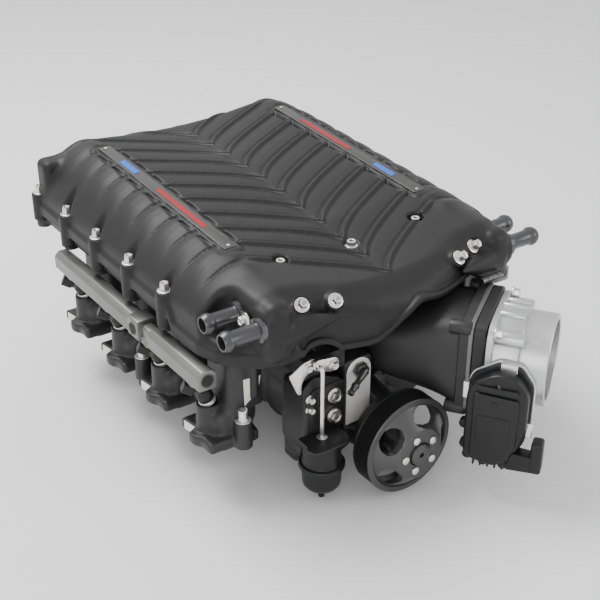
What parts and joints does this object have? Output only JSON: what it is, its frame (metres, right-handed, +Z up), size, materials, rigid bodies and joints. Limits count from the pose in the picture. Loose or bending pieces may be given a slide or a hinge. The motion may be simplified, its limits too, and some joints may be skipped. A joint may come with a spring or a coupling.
{
  "type": "engine supercharger",
  "caption": "Twin-screw supercharger with charge-air cooler lid, intake runners, fuel rails, throttle body, belt pulley and bypass actuator.",
  "frame": {"origin": "centre of the plane of both cylinder-head flange faces", "axes": "+X to the throttle side, +Y to the rear of the engine, +Z up"},
  "size_m": [0.445, 0.6435, 0.2888],
  "materials": {
    "coated_casting": "satin dark grey powder coat over cast aluminium",
    "cast_aluminium": "as-cast and machined, bare",
    "machined_aluminium": "bright machined face on a coated casting",
    "rail_aluminium": "satin extrusion",
    "dark_fitting": "dark anodised, slightly glossy",
    "pulley_coat": "satin black anodised",
    "bright_steel": "zinc plated, clean",
    "black_plastic": "glass-filled moulding",
    "black_bracket": "black zinc plate",
    "rubber": "matt",
    "seal_ring": "yellow-green elastomer",
    "badge_plate": "brushed dark nickel",
    "badge_red": "plain enamel stripe",
    "badge_blue": "plain enamel block",
    "core_aluminium": "brazed fins"
  },
  "bodies": {
    "root": {"intercooler_lid": "coated_casting", "lid_gasket": "rubber", "intercooler_core": "core_aluminium", "intake_manifold": "coated_casting", "rotor_case": "coated_casting", "front_cover": "coated_casting", "rear_cover": "coated_casting", "male_front_bearing": "bright_steel", "male_rear_bearing": "bright_steel", "female_front_bearing": "bright_steel", "female_rear_bearing": "bright_steel", "nose_bearing_front": "bright_steel", "nose_bearing_rear": "bright_steel", "shaft_seal": "rubber", "inlet_duct": "coated_casting", "throttle_adapter": "coated_casting", "throttle_body": "cast_aluminium", "throttle_motor": "bright_steel", "throttle_motor_cover": "black_plastic", "vent_tube": "bright_steel", "bypass_valve_body": "coated_casting", "bypass_stop_plate": "bright_steel", "actuator_can": "black_plastic", "actuator_bracket": "black_bracket", "vacuum_fitting": "dark_fitting", "fuel_rail_left": "rail_aluminium", "badge_strip_left": "badge_plate", "injector_left_1": "black_plastic", "injector_left_2": "black_plastic", "injector_left_3": "black_plastic", "injector_left_4": "black_plastic", "water_barb_left_front": "dark_fitting", "water_barb_left_rear": "dark_fitting", "fuel_rail_right": "rail_aluminium", "badge_strip_right": "badge_plate", "injector_right_1": "black_plastic", "injector_right_2": "black_plastic", "injector_right_3": "black_plastic", "injector_right_4": "black_plastic", "water_barb_right_front": "dark_fitting", "water_barb_right_rear": "dark_fitting"},
    "drive_rotor": {"male_rotor": "cast_aluminium", "male_timing_gear": "bright_steel", "input_shaft": "bright_steel", "drive_coupling": "dark_fitting", "drive_pulley": "pulley_coat", "pulley_hub": "pulley_coat"},
    "female_rotor_set": {"female_rotor": "cast_aluminium", "female_timing_gear": "bright_steel"},
    "throttle": {"throttle_shaft": "bright_steel", "throttle_blade": "bright_steel"},
    "bypass_valve": {"bypass_blade": "bright_steel", "bypass_lever": "bright_steel"},
    "actuator_rod_body": {"actuator_rod": "bright_steel"}
  },
  "joints": [
    {"name": "pulley_spin", "type": "hinge", "parent": "root", "child": "drive_rotor", "pos_m": [-0.02, -0.2, -0.002], "axis": [0, 1, 0], "continuous": true},
    {"name": "female_rotor_spin", "type": "hinge", "parent": "root", "child": "female_rotor_set", "pos_m": [0.058, 0, 0.022], "axis": [0, 1, 0], "continuous": true},
    {"name": "throttle_turn", "type": "hinge", "parent": "root", "child": "throttle", "pos_m": [0.10811, -0.30538, 0.0808], "axis": [-0.8221, -0.5693, 0], "range_deg": [0, 85], "stiffness_Nm_per_rad": 0.3, "springref_deg": -17.19},
    {"name": "bypass_turn", "type": "hinge", "parent": "root", "child": "bypass_valve", "pos_m": [-0.0845, -0.2, 0.098], "axis": [0, -1, 0], "range_deg": [0, 28], "stiffness_Nm_per_rad": 0.1, "springref_deg": -22.92},
    {"name": "actuator_rod_slide", "type": "slide", "parent": "root", "child": "actuator_rod_body", "axis": [0, 0, -1], "range_m": [0, 0.0093]}
  ],
  "couplings": [
    {"joint": "female_rotor_spin", "follows": "pulley_spin", "ratio": -0.6},
    {"joint": "actuator_rod_slide", "follows": "bypass_turn", "m_per_rad": 0.0188}
  ]
}
